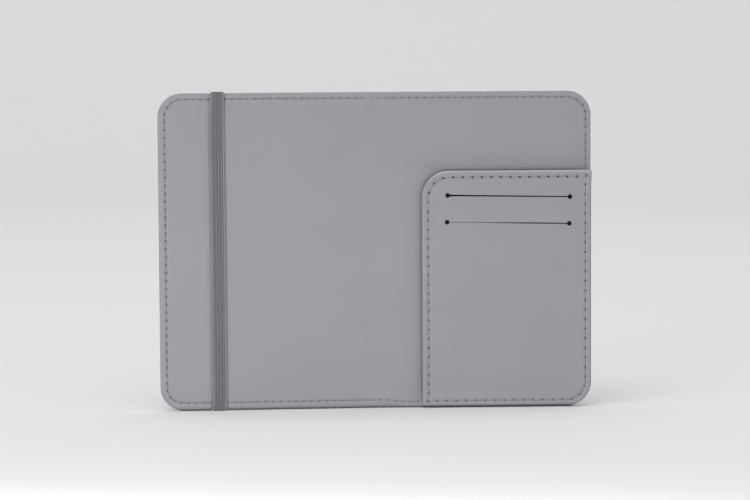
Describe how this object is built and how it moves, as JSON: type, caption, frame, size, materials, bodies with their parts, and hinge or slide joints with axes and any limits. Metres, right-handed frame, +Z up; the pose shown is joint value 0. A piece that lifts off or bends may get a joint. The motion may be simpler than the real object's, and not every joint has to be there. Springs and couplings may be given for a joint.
{
  "type": "passport holder wallet",
  "caption": "Fold-open passport wallet with a sewn pocket, card slits and an elastic closing band, standing open on its bottom edge.",
  "frame": {"origin": "on the surface that the wallet stands on, under the middle of its bounding box", "axes": "+Z up along the spine, +X along the open wallet towards the pocket's fore edge, and the insides of both covers face -Y"},
  "size_m": [0.1936, 0.0072, 0.1427],
  "materials": {
    "skin_grey": "matte",
    "lining_grey": "matte",
    "thread_grey": "satin",
    "elastic_grey": "matte",
    "pocket_cloth": "matte",
    "board": "matte"
  },
  "bodies": {
    "spine": {"spine_outer_skin": "skin_grey", "spine_lining": "lining_grey", "spine_seam_thread": "thread_grey"},
    "left_cover": {"left_outer_skin": "skin_grey", "left_board": "board", "left_lining": "lining_grey", "left_seam_thread": "thread_grey", "elastic_top_end": "elastic_grey", "elastic_bottom_end": "elastic_grey"},
    "elastic": {"elastic_band": "elastic_grey"},
    "right_cover": {"right_outer_skin": "skin_grey", "right_board": "board", "right_lining": "lining_grey", "right_seam_thread": "thread_grey", "pocket_panel": "skin_grey", "pocket_backing": "pocket_cloth", "card_divider": "pocket_cloth", "pocket_hem_thread": "thread_grey"}
  },
  "joints": [
    {"name": "left_cover_fold", "type": "hinge", "parent": "spine", "child": "left_cover", "pos_m": [-0.0045, 0.00062, 0], "axis": [0, 0, 1], "range_deg": [-9.5, 88.5]},
    {"name": "right_cover_fold", "type": "hinge", "parent": "spine", "child": "right_cover", "pos_m": [0.0045, 0.00062, 0], "axis": [0, 0, -1], "range_deg": [-9.5, 88.5]},
    {"name": "elastic_lift", "type": "slide", "parent": "left_cover", "child": "elastic", "axis": [0.0262, -0.9997, 0], "range_m": [0, 0.0045], "stiffness_N_per_m": 100, "deforming": ["elastic_top_end", "elastic_bottom_end"]}
  ]
}
